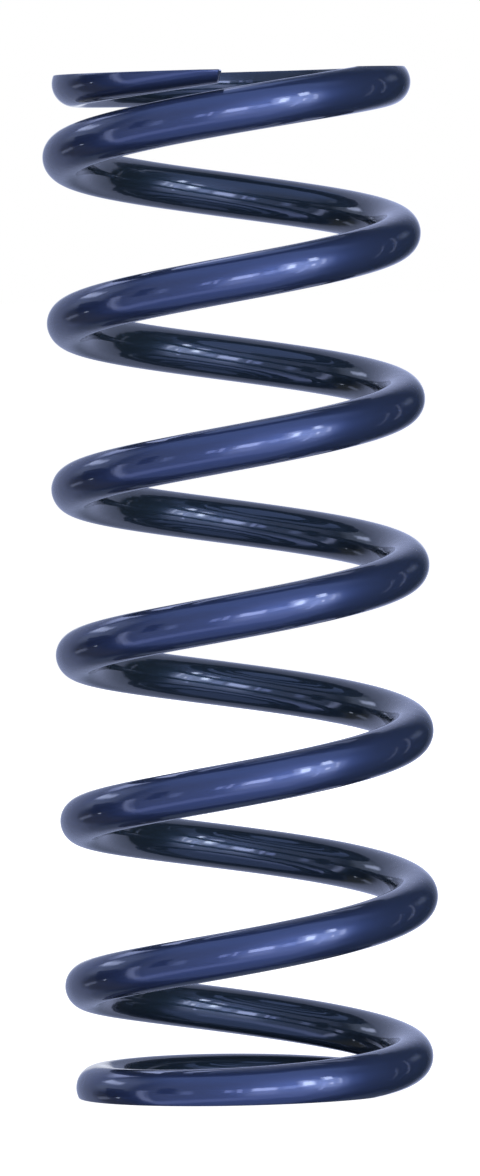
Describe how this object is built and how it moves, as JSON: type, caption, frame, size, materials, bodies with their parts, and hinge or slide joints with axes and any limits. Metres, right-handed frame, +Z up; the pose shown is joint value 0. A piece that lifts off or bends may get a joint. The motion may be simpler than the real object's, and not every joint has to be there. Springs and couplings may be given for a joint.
{
  "type": "helical compression spring",
  "caption": "Right-hand helical compression spring of round wire, with closed, drawn-in and ground ends and wide open coils, in glossy deep blue.",
  "frame": {"origin": "centre of the lower ground face, on the spring's axis", "axes": "+Z up along the coil's axis, which is the longest extent; -Y is the front, where the wire's upper tip ends"},
  "size_m": [0.0934, 0.0934, 0.254],
  "materials": {
    "blue_coat": "gloss"
  },
  "bodies": {
    "root": {"coil_spring": "blue_coat"}
  },
  "joints": []
}
